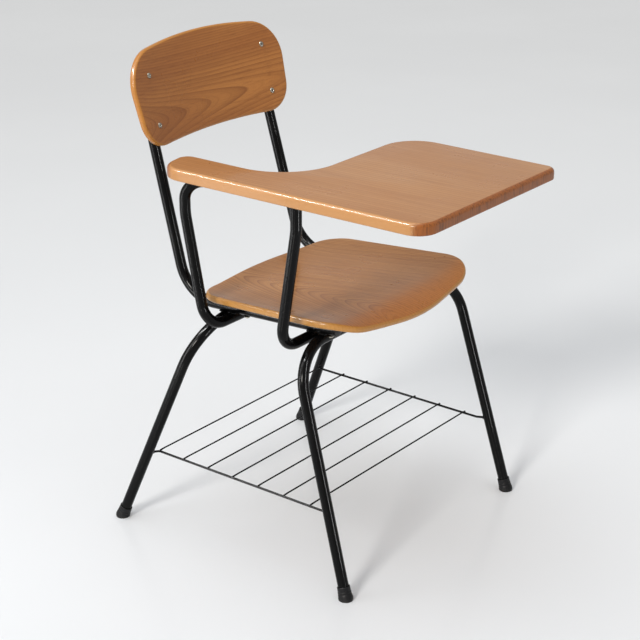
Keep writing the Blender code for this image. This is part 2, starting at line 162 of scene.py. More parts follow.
def bend(before, corner, after, radius, steps):
    """Points round the arc that replaces the corner between two straight runs."""
    corner = Vector(corner)
    back = (Vector(before) - corner).normalized()
    ahead = (Vector(after) - corner).normalized()
    half = back.angle(ahead) / 2
    reach = radius / math.tan(half)
    centre = corner + (back + ahead).normalized() * (radius / math.sin(half))
    start = corner + back * reach - centre
    end = corner + ahead * reach - centre
    turn = start.angle(end)
    points = []
    for i in range(steps + 1):
        a = turn * i / steps
        spoke = start * math.sin(turn - a) + end * math.sin(a)
        points.append(centre + spoke / math.sin(turn))
    return points


def rounded_path(corners, radii, steps=BEND_STEPS):
    points = [Vector(corners[0])]
    for before, corner, after, radius in zip(corners, corners[1:], corners[2:], radii):
        points += bend(before, corner, after, radius, steps)
    points.append(Vector(corners[-1]))
    return points


def outline_points(corners, steps=12):
    """A closed outline with rounded corners, each corner given as (x, y, radius)."""
    points = []
    for i, (x, y, radius) in enumerate(corners):
        after = corners[(i + 1) % len(corners)][:2]
        points += bend(corners[i - 1][:2], (x, y), after, radius, steps)
    return points


def directions(points, closed):
    """The way a path runs at each of its points."""
    last = len(points) - 1
    ways = []
    for i in range(len(points)):
        before = points[i - 1] if i or closed else points[0]
        after = points[(i + 1) % len(points)] if i < last or closed else points[last]
        ways.append((after - before).normalized())
    return ways


def path_frames(points, closed=False):
    """Two unit vectors square to the path at each point, turned as little as possible."""
    ways = directions(points, closed)
    side = ways[0].orthogonal().normalized()
    frames = []
    for way in ways:
        side = (side - way * side.dot(way)).normalized()
        frames.append((side, way.cross(side)))
    return frames


def ring(bm, centre, side, up, radius, count):
    verts = []
    for k in range(count):
        a = 2 * math.pi * k / count
        verts.append(bm.verts.new(centre + (side * math.cos(a) + up * math.sin(a)) * radius))
    return verts


def skin(bm, rings, closed=False):
    """Quads between neighbouring rings of equal count."""
    pairs = list(zip(rings, rings[1:]))
    if closed:
        pairs.append((rings[-1], rings[0]))
    for low, high in pairs:
        count = len(low)
        for k in range(count):
            n = (k + 1) % count
            bm.faces.new((low[k], low[n], high[n], high[k]))


def hollow_tube(name, points):
    """A round tube with a wall, open at both ends."""
    bm = bmesh.new()
    frames = path_frames(points)
    outer = [ring(bm, p, s, u, TUBE_R, TUBE_SIDES) for p, (s, u) in zip(points, frames)]
    bore = TUBE_R - TUBE_WALL
    inner = [ring(bm, p, s, u, bore, TUBE_SIDES) for p, (s, u) in zip(points, frames)]
    skin(bm, outer + inner[::-1], closed=True)
    return closed_mesh(name, bm)


def rod(bm, points, radii, sides=WIRE_SIDES, closed=False):
    """A solid round bar along the points, with a radius at each."""
    frames = path_frames(points, closed)
    rings = [ring(bm, p, s, u, r, sides) for p, (s, u), r in zip(points, frames, radii)]
    skin(bm, rings, closed)
    if not closed:
        bm.faces.new(rings[0][::-1])
        bm.faces.new(rings[-1])


def lathe(name, profile, place, axis, sides=40):
    """A round piece turned from (radius, height) points, listed from the top down the outside.

    A profile that starts and ends off the axis is closed into a ring."""
    bm = bmesh.new()
    axis = Vector(axis).normalized()
    side = axis.orthogonal().normalized()
    up = axis.cross(side)
    place = Vector(place)
    on_axis = profile[0][0] == 0
    turned = [(r, h) for r, h in profile if r > 0]
    rings = [ring(bm, place + axis * h, side, up, r, sides) for r, h in turned]
    skin(bm, rings, closed=not on_axis)
    if on_axis:
        for end, centre in ((rings[0], profile[0][1]), (rings[-1], profile[-1][1])):
            tip = bm.verts.new(place + axis * centre)
            for k in range(sides):
                bm.faces.new((end[k], end[(k + 1) % sides], tip))
    return closed_mesh(name, bm)


def dome(radius, height, base, steps=7):
    """The profile of a low dome, from its middle to its rim."""
    points = []
    for i in range(steps + 1):
        a = math.pi / 2 * i / steps
        points.append((radius * math.sin(a), base + height * math.cos(a)))
    return [(0 if r < 1e-9 else r, h) for r, h in points]


# --- materials ---------------------------------------------------------------------------------

class Graph:
    """Short calls for building one material's nodes."""

    def __init__(self, name):
        self.material = bpy.data.materials.new(name)
        self.material.use_nodes = True
        self.tree = self.material.node_tree
        self.shader = self.tree.nodes["Principled BSDF"]
        self.place = self.node("ShaderNodeTexCoord").outputs["Object"]

    def node(self, kind, **settings):
        made = self.tree.nodes.new(kind)
        for key, value in settings.items():
            setattr(made, key, value)
        return made

    def feed(self, socket, value):
        if isinstance(value, bpy.types.NodeSocket):
            self.tree.links.new(value, socket)
        else:
            socket.default_value = value

    def math(self, operation, a, b=0.0, c=0.0, clamp=False):
        made = self.node("ShaderNodeMath", operation=operation, use_clamp=clamp)
        for socket, value in zip(made.inputs, (a, b, c)):
            self.feed(socket, value)
        return made.outputs[0]

    def scaled(self, factors):
        """The coordinates, each multiplied by its factor."""
        made = self.node("ShaderNodeVectorMath", operation="MULTIPLY")
        self.feed(made.inputs[0], self.place)
        made.inputs[1].default_value = factors
        return made.outputs[0]

    def noise(self, vector, scale, detail=2.0, roughness=0.5):
        made = self.node("ShaderNodeTexNoise")
        self.feed(made.inputs["Vector"], vector)
        made.inputs["Scale"].default_value = scale
        made.inputs["Detail"].default_value = detail
        made.inputs["Roughness"].default_value = roughness
        return made.outputs["Fac"]

    def ranged(self, value, low, high, to_low=0.0, to_high=1.0):
        """The value, taken from low..high to to_low..to_high and held there."""
        made = self.node("ShaderNodeMapRange", clamp=True, interpolation_type="SMOOTHSTEP")
        self.feed(made.inputs["Value"], value)
        made.inputs["From Min"].default_value = low
        made.inputs["From Max"].default_value = high
        made.inputs["To Min"].default_value = to_low
        made.inputs["To Max"].default_value = to_high
        return made.outputs["Result"]

    def mix(self, factor, a, b):
        made = self.node("ShaderNodeMix", data_type="RGBA")
        self.feed(made.inputs["Factor"], factor)
        self.feed(made.inputs["A"], a)
        self.feed(made.inputs["B"], b)
        return made.outputs["Result"]

    def bump(self, height, strength, distance):
        made = self.node("ShaderNodeBump")
        made.inputs["Strength"].default_value = strength
        made.inputs["Distance"].default_value = distance
        self.feed(made.inputs["Height"], height)
        self.feed(self.shader.inputs["Normal"], made.outputs["Normal"])

    def attribute(self, name):
        made = self.node("ShaderNodeAttribute", attribute_name=name)
        return made.outputs["Fac"]

    def set(self, **values):
        """Values for the shader's own sockets; an underscore stands for a space."""
        for key, value in values.items():
            self.feed(self.shader.inputs[key.replace("_", " ")], value)


def enamel(name, gloss):
    """Black stoved enamel: a faint orange peel, and duller, greyer patches where it is handled."""
    g = Graph(name)
    handled = g.ranged(g.noise(g.place, 9.0, 4.0), 0.45, 0.75)
    specks = g.ranged(g.noise(g.place, 420.0, 2.0), 0.66, 0.72)
    colour = g.mix(handled, (0.0016, 0.0016, 0.0018, 1), (0.0032, 0.0032, 0.0034, 1))
    colour = g.mix(g.math("MULTIPLY", specks, 0.35), colour, (0.035, 0.035, 0.036, 1))
    rough = g.math("ADD", g.math("MULTIPLY", handled, 0.10), gloss)
    g.set(Base_Color=colour, Roughness=rough, Coat_Weight=0.14, Coat_Roughness=0.05)
    g.shader.inputs["Specular IOR Level"].default_value = 0.06
    peel = g.math("ADD", g.noise(g.place, 260.0, 2.0), g.math("MULTIPLY", specks, 0.3))
    g.bump(peel, 0.05, 0.0003)
    return g.material


def rubber(name):
    """Dull black rubber, greyed by floor dust low down."""
    g = Graph(name)
    height = g.node("ShaderNodeSeparateXYZ")
    g.feed(height.inputs[0], g.place)
    low = g.ranged(height.outputs["Z"], 0.0, 0.009, 1.0, 0.0)
    grime = g.math("MULTIPLY", low, g.ranged(g.noise(g.place, 220.0, 5.0), 0.35, 0.7))
    colour = g.mix(grime, (0.006, 0.006, 0.007, 1), (0.030, 0.028, 0.026, 1))
    rough = g.ranged(g.noise(g.place, 500.0, 3.0), 0.3, 0.7, 0.40, 0.58)
    g.set(Base_Color=colour, Roughness=rough)
    g.shader.inputs["Specular IOR Level"].default_value = 0.25
    g.bump(g.noise(g.place, 900.0, 3.0), 0.25, 0.0003)
    return g.material


def plastic(name):
    """Moulded black plastic with a fine spark-eroded texture."""
    g = Graph(name)
    grain = g.noise(g.place, 1400.0, 2.0)
    worn = g.ranged(g.noise(g.place, 60.0, 4.0), 0.4, 0.7)
    colour = g.mix(worn, (0.010, 0.010, 0.011, 1), (0.019, 0.019, 0.020, 1))
    g.set(Base_Color=colour, Roughness=g.ranged(grain, 0.3, 0.7, 0.36, 0.52))
    g.bump(grain, 0.3, 0.0002)
    return g.material


def nickel(name, tone):
    """Bright plate with fine drawing marks and slight tarnish."""
    g = Graph(name)
    tarnish = g.ranged(g.noise(g.place, 240.0, 4.0), 0.42, 0.72)
    dark = tuple(c * 0.62 for c in tone[:3]) + (1,)
    marks = g.noise(g.scaled((900.0, 900.0, 160.0)), 1.0, 3.0)
    rough = g.math("ADD", g.math("MULTIPLY", marks, 0.16), 0.14)
    g.set(Base_Color=g.mix(tarnish, tone, dark), Metallic=1.0, Roughness=rough)
    g.bump(marks, 0.15, 0.0001)
    return g.material


def grain_scale(across, along, over, down):
    """Scales for noise that is drawn out along the grain."""
    return tuple({across: over, along: down}.get(key, over) for key in "XYZ")


def axes_of(g, across, along):
    """The across-grain and along-grain coordinates, and the third one."""
    split = g.node("ShaderNodeSeparateXYZ")
    g.feed(split.inputs[0], g.place)
    third = ({"X", "Y", "Z"} - {across, along}).pop()
    return [split.outputs[key] for key in (across, along, third)]


def wood(name, across, along, reach, centre, tilt, heart, taper, ring_width, tones, contrast,
         plies, roll=None):
    """Varnished veneer. Growth rings are cones cut flat: nested flames near the centre line and
    straight lines away from it. centre is a place (across, along) on the centre line, tilt the
    line's slope, heart the depth of the cut and taper the cones' slope at centre. The flames lie
    further and further apart along the grain, starting reach before centre. roll is where along
    the grain the lines grow stronger and the colour richer, and by how much the lines do."""
    g = Graph(name)
    u, t, w = axes_of(g, across, along)
    boost = g.ranged(t, roll[0], roll[1], roll[2], 1.0) if roll else 1.0
    slow = grain_scale(across, along, 9.0, 1.8)
    sway = g.math("SUBTRACT", g.noise(g.scaled(slow), 1.0, 2.0, 0.4), 0.5)
    t = g.math("SUBTRACT", t, centre[1])
    d = g.math("SUBTRACT", g.math("SUBTRACT", u, centre[0]), g.math("MULTIPLY", t, tilt))
    d = g.math("ADD", d, g.math("MULTIPLY", sway, 0.016))
    d = g.math("ADD", d, g.math("MULTIPLY", w, 0.12))
    depth = g.math("SQRT", g.math("ADD", g.math("MULTIPLY", d, d), heart * heart))
    along_flames = g.math("MAXIMUM", g.math("MULTIPLY_ADD", t, 1 / reach, 1.0), 0.02)
    flames = g.math("LOGARITHM", along_flames, math.e)
    depth = g.math("ADD", depth, g.math("MULTIPLY", flames, taper * reach))
    rings = g.math("ADD", g.math("DIVIDE", depth, ring_width), 40.0)

    phase = g.math("FRACT", rings)
    late = g.math("MULTIPLY", g.ranged(phase, 0.30, 0.93), g.ranged(phase, 0.93, 1.0, 1.0, 0.0))
    line = g.math("MULTIPLY", g.ranged(phase, 0.78, 0.93), g.ranged(phase, 0.93, 0.99, 1.0, 0.0))
    finer = g.math("FRACT", g.math("MULTIPLY", rings, 2.7))
    finer = g.ranged(g.math("ABSOLUTE", g.math("SUBTRACT", finer, 0.5)), 0.34, 0.5)
    year = g.node("ShaderNodeCombineXYZ")
    g.feed(year.inputs[0], g.math("MULTIPLY", g.math("FLOOR", rings), 0.71))
    year = g.ranged(g.noise(year.outputs[0], 1.0, 0.0), 0.35, 0.65)
    fibre = g.noise(g.scaled(grain_scale(across, along, 300.0, 6.0)), 1.0, 4.0, 0.65)
    pores = g.noise(g.scaled(grain_scale(across, along, 1500.0, 60.0)), 1.0, 1.0)
    pores = g.ranged(pores, 0.60, 0.70)
    broad = g.noise(g.scaled(grain_scale(across, along, 11.0, 2.4)), 1.0, 2.0)

    pale, mid, dark = tones
    colour = g.mix(g.ranged(broad, 0.3, 0.7), mid, pale)
    colour = g.mix(g.math("MULTIPLY", year, 0.38 * contrast), colour, dark)
    patchy = g.math("MULTIPLY", late, g.ranged(broad, 0.25, 0.75, 0.35, 0.75))
    strength = g.math("MULTIPLY", boost, contrast)
    for lines, share in ((patchy, 1.0), (line, 0.55), (finer, 0.30)):
        amount = g.math("MULTIPLY", g.math("MULTIPLY", lines, share), strength, clamp=True)
        colour = g.mix(amount, colour, dark)
    if roll:
        amber = tuple(c * f for c, f in zip(pale[:3], (1.20, 0.92, 0.50))) + (1,)
        colour = g.mix(g.ranged(t, roll[0] - centre[1], roll[1] - centre[1], 0.70, 0.0), colour, amber)
    streak = g.ranged(fibre, 0.48, 0.74, 0.0, 0.50 * contrast + 0.12)
    colour = g.mix(streak, colour, dark)
    deep = tuple(c * 0.6 for c in dark[:3]) + (1,)
    colour = g.mix(g.math("MULTIPLY", pores, 0.16), colour, deep)
    colour = edge_tone(g, colour, pale, dark, plies)

    smear = g.noise(g.place, 14.0, 4.0)
    rough = g.ranged(smear, 0.3, 0.7, 0.26, 0.36)
    g.set(Base_Color=colour, Roughness=rough, Coat_Weight=0.28, Coat_Roughness=0.06)
    g.shader.inputs["Specular IOR Level"].default_value = 0.25
    g.bump(fibre, 0.10, 0.0003)
    return g.material


def edge_tone(g, colour, pale, dark, plies):
    """Warms the rounded edge, and shows the plies' glue lines in it where there are any."""
    rim = g.attribute("rim")
    tint = (1.14, 1.25, 0.98) if plies else (1.20, 1.22, 1.12)
    warm = tuple(min(1.0, c * f) for c, f in zip(pale[:3], tint)) + (1,)
    lip = g.ranged(rim, 0.0, 0.5 if plies else 0.30)
    colour = g.mix(g.math("MULTIPLY", lip, 0.60), colour, warm)
    if not plies:
        crosscut = g.ranged(g.attribute("crosscut"), 0.02, 0.30)
        sawn = tuple(c * f for c, f in zip(dark[:3], (1.30, 1.08, 0.62))) + (1,)
        colour = g.mix(g.math("MULTIPLY", crosscut, 0.9), colour, sawn)
        stripes = g.noise(g.scaled((420.0, 420.0, 30.0)), 1.0, 3.0, 0.6)
        stripes = g.math("MULTIPLY", g.ranged(stripes, 0.45, 0.70), crosscut)
        deep = tuple(c * 0.5 for c in dark[:3]) + (1,)
        colour = g.mix(g.math("MULTIPLY", stripes, 0.9), colour, deep)
    if plies:
        lines = g.math("FRACT", g.math("MULTIPLY", g.attribute("through"), float(plies)))
        lines = g.ranged(g.math("ABSOLUTE", g.math("SUBTRACT", lines, 0.5)), 0.36, 0.48)
        uneven = g.ranged(g.noise(g.place, 90.0, 3.0), 0.3, 0.7, 0.25, 0.75)
        colour = g.mix(g.math("MULTIPLY", g.math("MULTIPLY", lines, uneven), rim), colour, dark)
    return colour


# --- frame -------------------------------------------------------------------------------------

def rail_z(y):
    return RAIL_Z + RAIL_SLOPE * (y - RAIL_REF_Y)


def under_rail_z(y):
    return rail_z(y) - (2 * TUBE_R + GAP) * math.hypot(1, RAIL_SLOPE)


def back_point(z, side):
    return Vector((side * (BACK_FLOOR_X - BACK_DRAW_IN * z), BACK_FOOT_Y + BACK_LEAN * z, z))


def leg_point(foot, splay, z, side):
    return Vector((side * (foot[0] + splay[0] * z), foot[1] + splay[1] * z, z))


def leg_axis(splay, side):
    return Vector((side * splay[0], splay[1], 1.0)).normalized()


def crossbar_z(foot, splay):
    return under_rail_z(foot[1]) / (1 - RAIL_SLOPE * splay[1])


def make_back_tube(name, side, paint):
    z = rail_z(BACK_FOOT_Y) / (1 - RAIL_SLOPE * BACK_LEAN)
    corner = (side * RAIL_X, BACK_FOOT_Y + BACK_LEAN * z, z)
    front = (side * RAIL_X, RAIL_FRONT_Y, rail_z(RAIL_FRONT_Y))
    points = rounded_path([front, corner, back_point(BACK_TOP_Z, side)], [BACK_BEND_R])
    piece = add(name + "_fine", hollow_tube(name, points), "frame_enamel", paint)
    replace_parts(piece, name)


def make_leg_frame(name, foot, splay, bend_r, paint):
    z = crossbar_z(foot, splay)
    ends = [leg_point(foot, splay, 0.0, s) + leg_axis(splay, s) * LEG_END for s in (-1, 1)]
    corners = [ends[0], leg_point(foot, splay, z, -1), leg_point(foot, splay, z, 1), ends[1]]
    mesh = hollow_tube(name, rounded_path(corners, [bend_r, bend_r]))
    piece = add(name + "_fine", mesh, "frame_enamel", paint)
    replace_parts(piece, name)


def plate_under_z():
    return TABLET_TOP_Z - TABLET_THICK - PLATE_THICK - 2 * GAP


def make_post(name, post, run, paint):
    x, low_y, top_y, knee_z = post
    low = under_rail_z(low_y)
    top = plate_under_z()
    corners = [(POST_END_X, low_y, low), (x, low_y, low), (x, top_y, knee_z)]
    radii = [POST_BEND_R, POST_KNEE_R]
    if any(run):
        corners += [(x, top_y, top - TUBE_R), (x + run[0], top_y + run[1], top - TUBE_R)]
        radii.append(POST_TOP_R)
    else:
        corners.append((x, top_y, top))
    piece = add(name + "_fine", hollow_tube(name, rounded_path(corners, radii)), "frame_enamel", paint)
    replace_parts(piece, name)


def make_plate(name, paint):
    """A mounting plate with its arrises broken."""
    low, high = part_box(name)
    radius = 0.007
    corners = [(low.x, low.y, radius), (high.x, low.y, radius),
               (high.x, high.y, radius), (low.x, high.y, radius)]
    profile = edge_profile(high.z - low.z, 0.0005, 0.0008, 3)
    top = high.z
    mesh = panel(name, outline_points(corners, 8), profile, lambda x, y, d: Vector((x, y, top - d)), 0)
    piece = add(name + "_fine", mesh, "frame_enamel", paint)
    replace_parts(piece, name)


def bead(bm, points, radius, ripple, closed=True):
    """A weld bead: a rod whose radius ripples along it."""
    count = len(points)
    radii = []
    for i in range(count):
        radii.append(radius * (1 + 0.13 * math.sin(ripple * 2 * math.pi * i / count)))
    rod(bm, points, radii, 8, closed)


def crossing_bead(bm, touch, upper_way, lower_way):
    """The weld round the spot where one tube lies across another, in the crevice between them."""
    points = []
    reach = 0.0062
    for i in range(48):
        a = 2 * math.pi * i / 48
        along, over = reach * math.cos(a), reach * math.sin(a)
        above = TUBE_R - math.sqrt(TUBE_R ** 2 - over ** 2)
        below = TUBE_R - math.sqrt(TUBE_R ** 2 - along ** 2)
        lift = Vector((0, 0, (above - below) / 2))
        points.append(touch + upper_way * along + lower_way * over + lift)
    bead(bm, points, 0.0017, 11)


def run_bead(bm):
    """The weld along both sides of the rear post's upper run, where it lies against its plate."""
    way = Vector((*REAR_RUN, 0)).normalized()
    over = way.cross(Z_AXIS)
    end = Vector((REAR_POST[0] + REAR_RUN[0], REAR_POST[2] + REAR_RUN[1], plate_under_z()))
    points = []
    for i in range(48):
        a = 2 * math.pi * i / 48
        place = way * (-0.0085 + 0.0085 * math.cos(a)) + over * 0.0052 * math.sin(a)
        points.append(end + place - Z_AXIS * (0.0006 + 0.0006 * math.sin(a) ** 2))
    bead(bm, points, 0.0013, 13)


def round_bead(bm, centre, axis, radius, size, ripple):
    """A weld all round a bar that ends against something."""
    axis = Vector(axis).normalized()
    side = axis.orthogonal().normalized()
    up = axis.cross(side)
    points = []
    for i in range(44):
        a = 2 * math.pi * i / 44
        points.append(centre + (side * math.cos(a) + up * math.sin(a)) * radius)
    bead(bm, points, size, ripple)


def make_welds(paint):
    """Every weld of the frame, painted over with it."""
    bm = bmesh.new()
    rail_way = Vector((0, 1, RAIL_SLOPE)).normalized()
    bar_way = Vector((1, 0, 0))
    for foot, splay in ((FRONT_FOOT, FRONT_SPLAY), (REAR_FOOT, REAR_SPLAY)):
        z = crossbar_z(foot, splay)
        y = leg_point(foot, splay, z, 1).y
        for side in (-1, 1):
            touch = Vector((side * RAIL_X, y, z + TUBE_R + GAP / 2))
            crossing_bead(bm, touch, rail_way, bar_way)
    for post in (FRONT_POST, REAR_POST):
        y = post[1]
        touch = Vector((-RAIL_X, y, under_rail_z(y) + TUBE_R + GAP / 2))
        crossing_bead(bm, touch, rail_way, bar_way)
    top = Vector((FRONT_POST[0], FRONT_POST[2], plate_under_z() - 0.0008))
    round_bead(bm, top, Z_AXIS, TUBE_R + 0.0004, 0.0013, 17)
    run_bead(bm)
    for side in (-1, 1):
        for leg_end, knee in rack_ends(side):
            way = (knee - leg_end).normalized()
            round_bead(bm, leg_end + way * 0.0004, way, RACK_RAIL_R + 0.0002, 0.0011, 7)
    add("frame_welds", closed_mesh("frame_welds", bm), "frame_enamel", paint)


def make_plug(name, end, axis, cap):
    """A domed plug; its stem is pushed into the tube."""
    stem = TUBE_R - TUBE_WALL - 2 * GAP
    profile = dome(0.0086, 0.0026, 0.0006)
    profile += [(0.0091, 0.0002), (0.0092, -0.0001 + GAP), (stem, GAP), (stem, -0.003),
                (stem + 0.0002, -0.0035), (stem, -0.004), (stem, -0.0055), (stem - 0.001, -0.0065),
                (0, -0.0065)]
    piece = add(name + "_fine", lathe(name, profile, end, axis), "plug_plastic", cap)
    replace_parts(piece, name)


def make_tip(name, foot, splay, side, skin_material):
    """A rubber foot tip with two grip grooves and a rolled lip, worn level on the floor."""
    axis = leg_axis(splay, side)
    socket = TUBE_R + GAP
    floor = LEG_END - GAP
    outer = [(socket, 0.0232), (socket + 0.0004, 0.0238), (0.0106, 0.0240), (0.0111, 0.0236),
             (0.0113, 0.0228), (0.0111, 0.0216), (0.0112, 0.0196), (0.01135, 0.0172),
             (0.0109, 0.0166), (0.0109, 0.0160), (0.01145, 0.0154), (0.0117, 0.0126),
             (0.0112, 0.0120), (0.0112, 0.0114), (0.0118, 0.0108), (0.0122, 0.0074),
             (0.0127, 0.0048), (0.0128, 0.0030), (0.0127, 0.0010), (0.0122, -0.0010),
             (0.0110, -0.0034)]
    inner = [(0.0020, -0.0045), (0.0020, floor), (socket, floor), (socket, 0.0150)]
    mesh = lathe(name, outer + inner, leg_point(foot, splay, 0.0, side), axis, 48)
    for vert in mesh.vertices:
        vert.co.z = max(vert.co.z, 0.0)
    piece = add(name + "_fine", mesh, "tip_rubber", skin_material, smooth=50)
    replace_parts(piece, name)


# --- rack --------------------------------------------------------------------------------------

def rack_ends(side):
    """For the front and the rear leg: where a side wire meets it, and its knee."""
    pairs = []
    for foot, splay, y in ((FRONT_FOOT, FRONT_SPLAY, RACK_FRONT_KNEE_Y),
                           (REAR_FOOT, REAR_SPLAY, RACK_REAR_Y + 0.003)):
        knee = Vector((side * RACK_RAIL_X, y, RACK_Z))
        leg = leg_point(foot, splay, RACK_Z, side)
        pairs.append((leg - (leg - knee).normalized() * TUBE_R * 1.03, knee))
    return pairs


def make_rack_rail(name, side, paint):
    (front_end, front_knee), (rear_end, rear_knee) = rack_ends(side)
    points = rounded_path([front_end, front_knee, rear_knee, rear_end], [0.008, 0.008], 8)
    bm = bmesh.new()
    rod(bm, points, [RACK_RAIL_R] * len(points))
    piece = add(name + "_fine", closed_mesh(name, bm), "rack_enamel", paint)
    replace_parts(piece, name)


def make_rack_wire(name, y, paint):
    """A cross wire, pressed a little into the side wires where it is spot-welded to them."""
    rest_z = RACK_Z + RACK_RAIL_R + GAP + RACK_WIRE_R
    half = RACK_RAIL_X + RACK_RAIL_R * 0.4
    points = []
    radii = []
    steps = 80
    for i in range(steps + 1):
        x = -half + 2 * half * i / steps
        near = math.exp(-((abs(x) - RACK_RAIL_X) / 0.0045) ** 2)
        points.append(Vector((x, y, rest_z - 0.0007 * near)))
        radii.append(RACK_WIRE_R * (1 + 0.22 * near))
    bm = bmesh.new()
    rod(bm, points, radii)
    piece = add(name + "_fine", closed_mesh(name, bm), "rack_enamel", paint)
    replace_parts(piece, name)


# --- wood --------------------------------------------------------------------------------------

def edge_profile(thick, top_r, low_r, steps):
    """(inset, depth) points round an edge, from the top face to the bottom face."""
    points = []
    for i in range(steps + 1):
        a = math.pi / 2 * i / steps
        points.append((top_r * (1 - math.sin(a)), top_r * (1 - math.cos(a))))
    for i in range(steps + 1):
        a = math.pi / 2 * i / steps
        points.append((low_r * (1 - math.cos(a)), thick - low_r * (1 - math.sin(a))))
    return points


def thinned(points, least=0.0004):
    """The outline without points that lie almost on top of each other."""
    kept = []
    for point in points:
        if not kept or (point - kept[-1]).length > least:
            kept.append(point)
    if (kept[0] - kept[-1]).length < least:
        kept.pop()
    return kept


def dense(points, longest=0.008):
    """The outline with its long straight runs divided."""
    filled = []
    for here, after in zip(points, points[1:] + points[:1]):
        count = max(1, math.ceil((after - here).length / longest))
        filled += [here.lerp(after, k / count) for k in range(count)]
    return filled


def inward(points):
    """The inward normal at each point of a closed outline."""
    area = sum(a.x * b.y - b.x * a.y for a, b in zip(points, points[1:] + points[:1]))
    hand = 1 if area > 0 else -1
    normals = []
    for i in range(len(points)):
        way = (points[(i + 1) % len(points)] - points[i - 1]).normalized()
        normals.append(Vector((-way.y, way.x)) * hand)
    return normals


def panel(name, outline, profile, shape, rings):
    """A board with a rounded edge. shape(x, y, depth) places a point of it; rings is how many
    rings of faces fill each face, or 0 for a flat one. The edge's points are marked for the
    material: rim on the rounded side, through from 0 at the top to 1 underneath, and crosscut
    where the edge cuts across the Y direction."""
    points = dense(thinned(outline))
    normals = inward(points)
    thick = profile[-1][1]
    centre = Vector((sum(p.x for p in points), sum(p.y for p in points))) / len(points)
    bm = bmesh.new()
    rim = bm.verts.layers.float.new("rim")
    through = bm.verts.layers.float.new("through")
    crosscut = bm.verts.layers.float.new("crosscut")

    def loop(places, depth, rim_value):
        verts = []
        for place, normal in zip(places, normals):
            vert = bm.verts.new(shape(place.x, place.y, depth))
            vert[rim] = rim_value
            vert[through] = depth / thick
            vert[crosscut] = rim_value * normal.y ** 2
            verts.append(vert)
        return verts

    loops = []
    for k in range(rings, 0, -1):
        inner = [centre.lerp(p + n * profile[0][0], 1 - k / (rings + 0.5))
                 for p, n in zip(points, normals)]
        loops.append(loop(inner, 0.0, 0.0))
    for inset, depth in profile:
        edge = 1.0 - min(1.0, inset / max(profile[0][0], 0.0001))
        loops.append(loop([p + n * inset for p, n in zip(points, normals)], depth, edge))
    for k in range(1, rings + 1):
        inner = [centre.lerp(p + n * profile[-1][0], 1 - k / (rings + 0.5))
                 for p, n in zip(points, normals)]
        loops.append(loop(inner, thick, 0.0))
    skin(bm, loops)
    bm.faces.new(loops[0])
    bm.faces.new(loops[-1][::-1])
    return closed_mesh(name, bm)


def seat_top(x, y):
    level = rail_z(y) + TUBE_R * math.hypot(1, RAIL_SLOPE) + GAP + SEAT_THICK
    dish = SEAT_DISH * ((x / RAIL_X) ** 4 - 1)
    past = min(max(0.0, WATERFALL_Y - y), 0.95 * WATERFALL_R)
    roll = WATERFALL_R - math.sqrt(WATERFALL_R ** 2 - past ** 2)
    lift = max(0.0, y - LIFT_Y) ** 2 / (2 * LIFT_R)
    return level + dish - roll + lift


def seat_shape(x, y, depth):
    """A point of the seat, depth below its top face and square to it."""
    step = 0.0005
    rise_x = (seat_top(x + step, y) - seat_top(x - step, y)) / (2 * step)
    rise_y = (seat_top(x, y + step) - seat_top(x, y - step)) / (2 * step)
    normal = Vector((-rise_x, -rise_y, 1)).normalized()
    return Vector((x, y, seat_top(x, y))) - normal * depth


def make_seat(skin_material):
    corners = [(0.2075, -0.144, 0.076), (0.192, 0.177, 0.060)]
    mirrored = [(-x, y, r) for x, y, r in reversed(corners)]
    rear = [(0.0, 0.204, 0.700)]
    front = [(0.0, -0.174, 0.420)]
    outline = outline_points(corners + rear + mirrored + front)
    profile = edge_profile(SEAT_THICK, 0.0048, 0.0034, 7)
    mesh = panel("seat_panel", outline, profile, seat_shape, 16)
    piece = add("seat_panel_fine", mesh, "seat_wood", skin_material, smooth=60)
    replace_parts(piece, "seat_panel")


def back_normal():
    return Vector((0, -1, BACK_LEAN)).normalized()


def back_up():
    return Vector((0, BACK_LEAN, 1)).normalized()


def rivet_place(side, v):
    return back_point(RIVET_ROW_Z + v * back_up().z, side)


def sweep(x):
    return x ** 2 / (2 * BACK_SWEEP_R)


def board_middle():
    slope = rivet_place(1, 0.0).x / (BACK_SWEEP_R + BOARD_AHEAD)
    return BOARD_AHEAD / math.hypot(1, slope) - sweep(slope * BACK_SWEEP_R)


def rivet_axis(side, v):
    """The way a rivet points, square to the board, and how far ahead the board's face is."""
    axis_x = rivet_place(1, v).x
    foot_x = axis_x
    for _ in range(4):
        ahead = board_middle() + sweep(foot_x)
        foot_x = axis_x / (1 + ahead / BACK_SWEEP_R)
    run = Vector((side * (foot_x - axis_x), 0, 0)) + back_normal() * ahead
    return run.normalized(), run.length


def back_shape(x, y, depth):
    """A point of the back board in its own frame, depth behind its front face."""
    normal = Vector((-x / BACK_SWEEP_R, 0, 1)).normalized()
    return Vector((x, y, board_middle() + sweep(x))) - normal * depth


def make_back(skin_material):
    corners = [(0.190, -0.127, 0.050), (0.204, 0.037, 0.072), (0.0, 0.065, 0.850)]
    mirrored = [(-x, y, r) for x, y, r in reversed(corners[:2])]
    outline = outline_points(corners + mirrored + [(0.0, -0.1125, 1.600)])
    profile = edge_profile(BACK_THICK, 0.0046, 0.0040, 7)
    mesh = panel("back_panel", outline, profile, back_shape, 14)
    piece = add("back_panel_fine", mesh, "back_wood", skin_material, smooth=60)
    origin = rivet_place(1, 0.0)
    origin.x = 0.0
    turn = Matrix((Vector((1, 0, 0)), back_up(), back_normal())).transposed().to_4x4()
    piece.matrix_world = Matrix.Translation(origin) @ turn
    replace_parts(piece, "back_panel")


